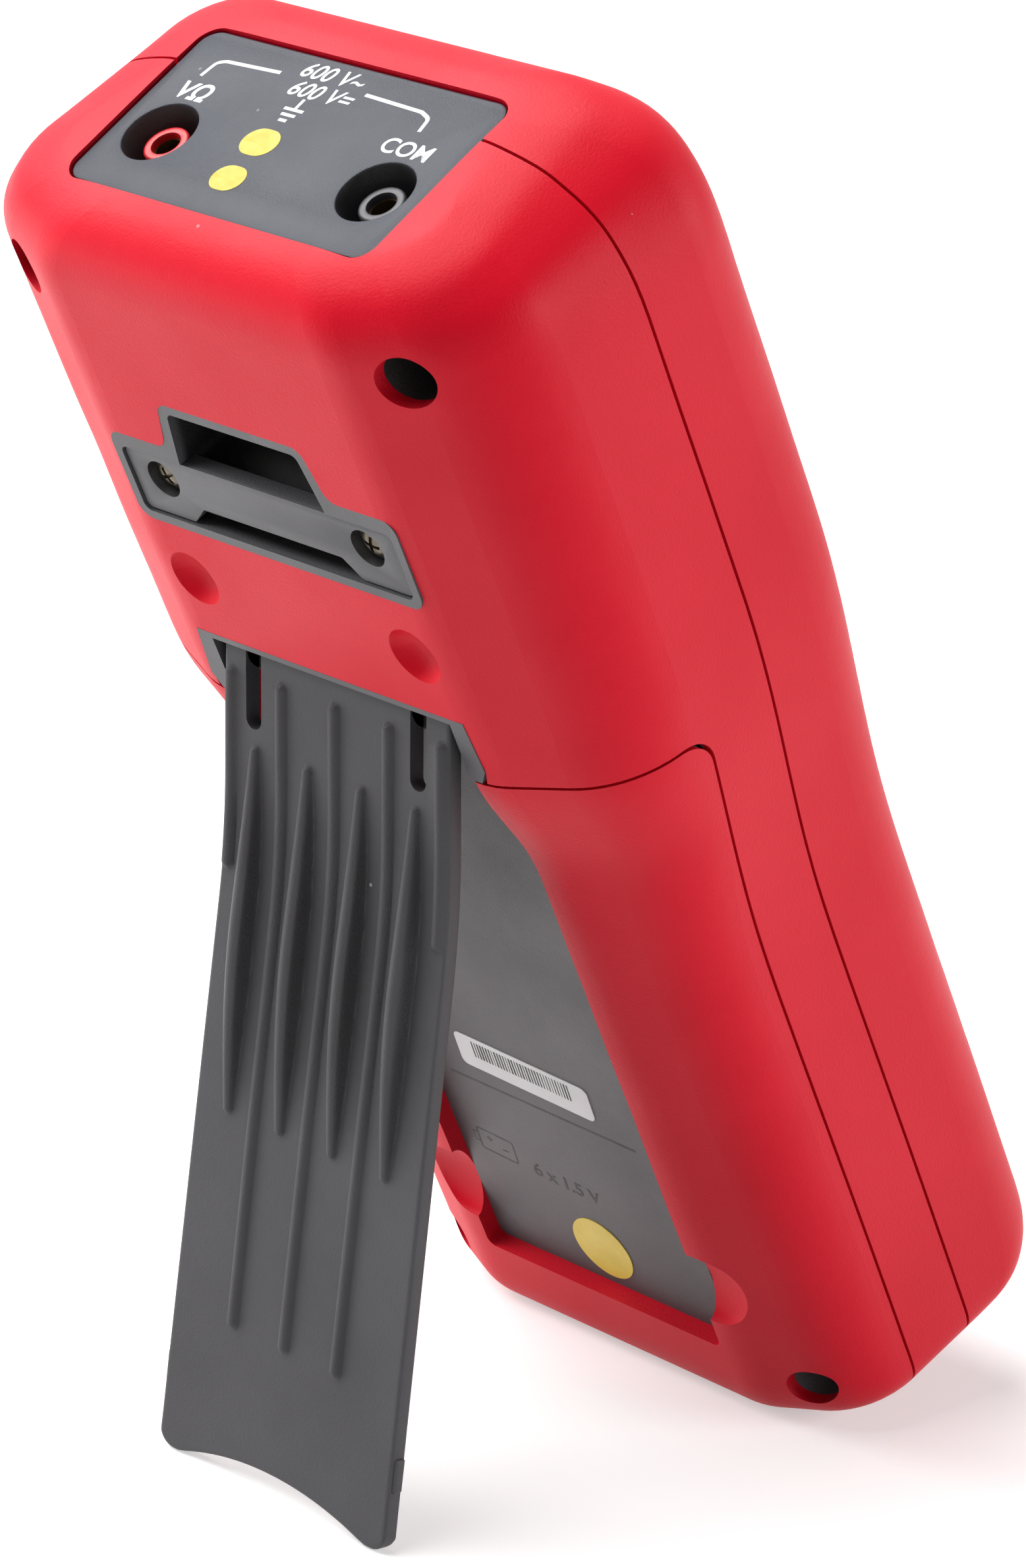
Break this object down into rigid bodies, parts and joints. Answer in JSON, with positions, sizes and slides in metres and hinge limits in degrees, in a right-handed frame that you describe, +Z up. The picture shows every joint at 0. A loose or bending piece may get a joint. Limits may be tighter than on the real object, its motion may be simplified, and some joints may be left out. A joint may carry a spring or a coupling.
{
  "type": "digital multimeter",
  "caption": "Handheld digital multimeter with a soft red case, leaning on its open tilt stand, with shrouded test sockets at its end and a strap bracket on its back.",
  "frame": {"origin": "centre of the bounding box at the floor, with the meter leaning on its open stand", "axes": "+Z up, +X across the meter towards its red socket, +Y towards the open stand"},
  "size_m": [0.1048, 0.1394, 0.2143],
  "materials": {
    "red_skin": "satin",
    "grey_shell": "satin",
    "grey_stand": "satin",
    "red_sleeve": "satin",
    "black_sleeve": "satin",
    "brass_contact": "satin",
    "steel": "satin",
    "window_clear": "gloss",
    "display_grey": "satin",
    "dark_plastic": "matt",
    "key_grey": "matt",
    "key_yellow": "matt",
    "mat_rubber": "matt",
    "board_green": "satin",
    "core_iron": "matt",
    "can_metal": "satin",
    "cell_wrap": "gloss",
    "label_white": "matt",
    "disc_yellow": "matt",
    "fuse_ceramic": "gloss"
  },
  "bodies": {
    "case": {"battery_contacts": "steel", "battery_cover": "grey_shell", "battery_cover_overmould": "red_skin", "board_screws": "steel", "bracket_plate": "grey_shell", "bracket_screws": "steel", "buzzer": "dark_plastic", "capacitors": "can_metal", "case_screws": "steel", "cell_1": "cell_wrap", "cell_2": "cell_wrap", "cell_3": "cell_wrap", "cell_4": "cell_wrap", "cell_5": "cell_wrap", "cell_6": "cell_wrap", "chips": "dark_plastic", "cover_screws": "steel", "detent_spring": "steel", "front_case": "grey_shell", "front_overmould": "red_skin", "fuse": "fuse_ceramic", "fuse_clips": "brass_contact", "inspection_disc": "disc_yellow", "jack_panel": "grey_shell", "keypad_mat": "mat_rubber", "lcd_connectors": "mat_rubber", "lcd_frame": "dark_plastic", "lcd_panel": "display_grey", "lcd_window": "window_clear", "main_board": "board_green", "rating_label": "label_white", "rear_case": "grey_shell", "rear_overmould": "red_skin", "relays": "dark_plastic", "sense_resistors": "fuse_ceramic", "socket_barrel_black": "brass_contact", "socket_barrel_red": "brass_contact", "socket_sleeve_black": "black_sleeve", "socket_sleeve_red": "red_sleeve", "socket_straps": "brass_contact", "threaded_inserts": "brass_contact", "transformer": "core_iron"},
    "stand": {"tilt_stand": "grey_stand"},
    "selector": {"selector_knob": "dark_plastic", "rotor_disc": "dark_plastic", "wiper_contacts": "brass_contact", "knob_clip": "steel"},
    "test_key": {"test_button": "key_yellow"},
    "small_key_1": {"key_1": "key_grey"},
    "small_key_2": {"key_2": "key_grey"},
    "small_key_3": {"key_3": "key_grey"},
    "small_key_4": {"key_4": "key_grey"},
    "small_key_5": {"key_5": "key_grey"},
    "small_key_6": {"key_6": "key_grey"}
  },
  "joints": [
    {"name": "stand_hinge", "type": "hinge", "parent": "case", "child": "stand", "pos_m": [0, 0.03529, 0.12415], "axis": [1, 0, 0], "range_deg": [-32.6, 0]},
    {"name": "selector_turn", "type": "hinge", "parent": "case", "child": "selector", "pos_m": [0, -0.04278, 0.08313], "axis": [0, -0.8945, 0.4471], "range_deg": [-210, 0]},
    {"name": "test_key_press", "type": "slide", "parent": "case", "child": "test_key", "axis": [0, 0.8945, -0.4471], "range_m": [0, 0.0015], "stiffness_N_per_m": 1500},
    {"name": "small_key_1_press", "type": "slide", "parent": "case", "child": "small_key_1", "axis": [0, 0.8945, -0.4471], "range_m": [0, 0.0012], "stiffness_N_per_m": 1600},
    {"name": "small_key_2_press", "type": "slide", "parent": "case", "child": "small_key_2", "axis": [0, 0.8945, -0.4471], "range_m": [0, 0.0012], "stiffness_N_per_m": 1600},
    {"name": "small_key_3_press", "type": "slide", "parent": "case", "child": "small_key_3", "axis": [0, 0.8945, -0.4471], "range_m": [0, 0.0012], "stiffness_N_per_m": 1600},
    {"name": "small_key_4_press", "type": "slide", "parent": "case", "child": "small_key_4", "axis": [0, 0.8945, -0.4471], "range_m": [0, 0.0012], "stiffness_N_per_m": 1600},
    {"name": "small_key_5_press", "type": "slide", "parent": "case", "child": "small_key_5", "axis": [0, 0.8945, -0.4471], "range_m": [0, 0.0012], "stiffness_N_per_m": 1600},
    {"name": "small_key_6_press", "type": "slide", "parent": "case", "child": "small_key_6", "axis": [0, 0.8945, -0.4471], "range_m": [0, 0.0012], "stiffness_N_per_m": 1600}
  ]
}
